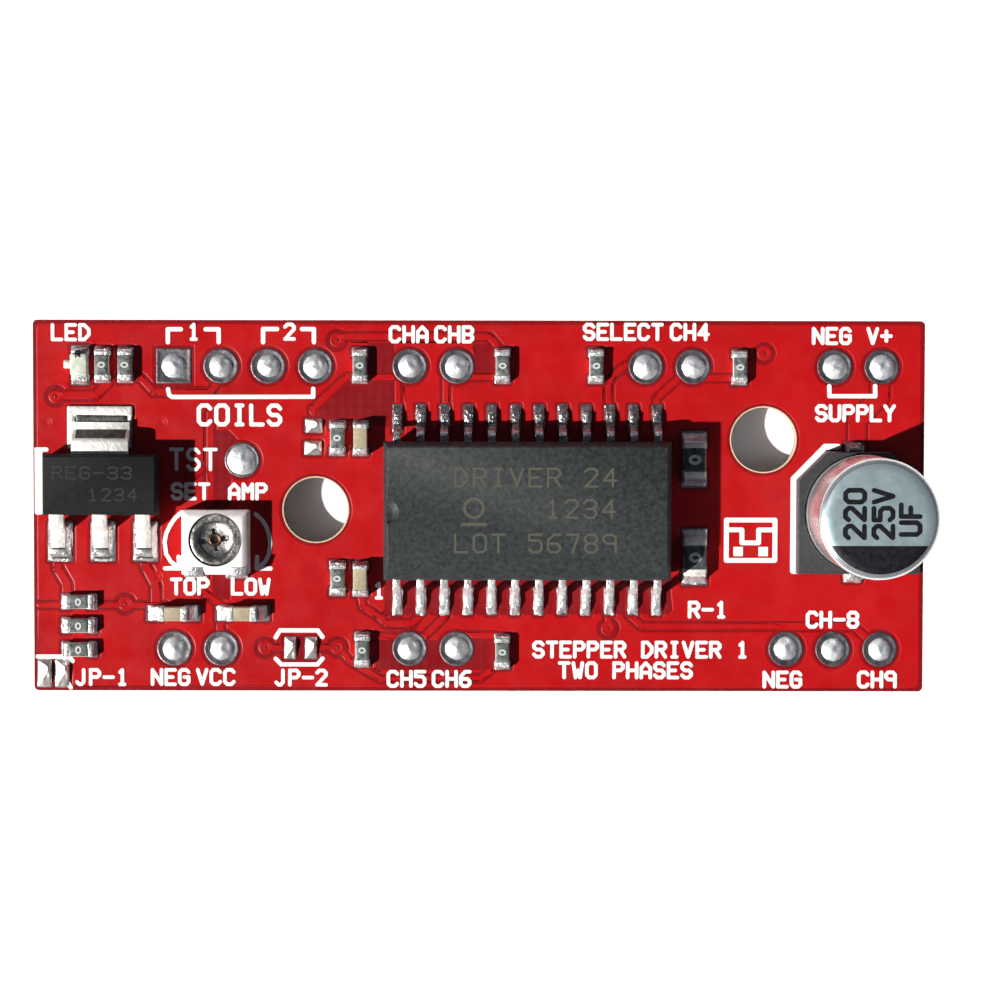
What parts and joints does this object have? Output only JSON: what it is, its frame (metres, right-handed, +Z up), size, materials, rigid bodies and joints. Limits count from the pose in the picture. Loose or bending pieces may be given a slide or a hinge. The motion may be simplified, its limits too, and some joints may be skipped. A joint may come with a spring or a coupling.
{
  "type": "stepper driver module",
  "caption": "Small red circuit board with a driver chip, voltage regulator, can capacitor and a trimmer whose slotted rotor turns.",
  "frame": {"origin": "middle of the board's underside", "axes": "+X along the board towards the can capacitor, +Y across the board towards the motor and supply terminals, +Z up out of the component side"},
  "size_m": [0.048, 0.02, 0.0093],
  "materials": {
    "solder_mask_red": "satin red solder mask over fibreglass laminate",
    "mould_black": "dark grey-black moulding compound, fine grain",
    "tin_plate": "bright tin plate over copper alloy",
    "silicon": "polished silicon",
    "can_aluminium": "satin can with a printed top",
    "base_grey": "matt dark moulding",
    "bung_rubber": "matt black rubber",
    "winding_paper": "wound foil and paper",
    "trimmer_ceramic": "off-white fired ceramic",
    "rotor_steel": "stamped bright steel",
    "resistor_black": "black glaze over ceramic, tinned ends",
    "ceramic_tan": "tan ceramic, tinned ends",
    "led_lens": "pale moulded lens",
    "laminate_cream": "routed glass laminate, cream",
    "solder": "bright reflowed solder",
    "print_white": "white screen print",
    "print_black": "black print on the can"
  },
  "bodies": {
    "board": {"circuit_board": "solder_mask_red", "ic_body": "mould_black", "regulator_body": "mould_black", "ic_ground_plate": "tin_plate", "ic_lead_01": "tin_plate", "ic_lead_02": "tin_plate", "ic_lead_03": "tin_plate", "ic_lead_04": "tin_plate", "ic_lead_05": "tin_plate", "ic_lead_08": "tin_plate", "ic_lead_09": "tin_plate", "ic_lead_10": "tin_plate", "ic_lead_11": "tin_plate", "ic_lead_12": "tin_plate", "ic_lead_13": "tin_plate", "ic_lead_14": "tin_plate", "ic_lead_15": "tin_plate", "ic_lead_16": "tin_plate", "ic_lead_17": "tin_plate", "ic_lead_20": "tin_plate", "ic_lead_21": "tin_plate", "ic_lead_22": "tin_plate", "ic_lead_23": "tin_plate", "ic_lead_24": "tin_plate", "regulator_lead_1": "tin_plate", "regulator_lead_3": "tin_plate", "regulator_tab_and_centre_lead": "tin_plate", "capacitor_lead_positive": "tin_plate", "capacitor_lead_negative": "tin_plate", "trimmer_terminal_1": "tin_plate", "trimmer_terminal_3": "tin_plate", "trimmer_rivet_terminal": "tin_plate", "ic_die": "silicon", "regulator_die": "silicon", "capacitor_can": "can_aluminium", "capacitor_base": "base_grey", "capacitor_bung": "bung_rubber", "capacitor_winding": "winding_paper", "trimmer_housing": "trimmer_ceramic", "led_resistor": "resistor_black", "jumper_resistor": "resistor_black", "pullup_resistor_1": "resistor_black", "pullup_resistor_2": "resistor_black", "pullup_resistor_3": "resistor_black", "pullup_resistor_4": "resistor_black", "pullup_resistor_5": "resistor_black", "pullup_resistor_6": "resistor_black", "timing_resistor_back": "resistor_black", "timing_resistor_front": "resistor_black", "sense_resistor_back": "resistor_black", "sense_resistor_front": "resistor_black", "feedback_resistor_1": "resistor_black", "feedback_resistor_2": "resistor_black", "feedback_resistor_3": "resistor_black", "timing_capacitor_back": "ceramic_tan", "timing_capacitor_front": "ceramic_tan", "supply_capacitor_1": "ceramic_tan", "supply_capacitor_2": "ceramic_tan", "power_led": "led_lens"},
    "rotor": {"trimmer_rotor": "rotor_steel"}
  },
  "joints": [
    {"name": "trimmer_turn", "type": "hinge", "parent": "board", "child": "rotor", "pos_m": [-0.01412, -0.00178, 0.00255], "axis": [0, 0, 1], "range_deg": [-125, 125]}
  ]
}
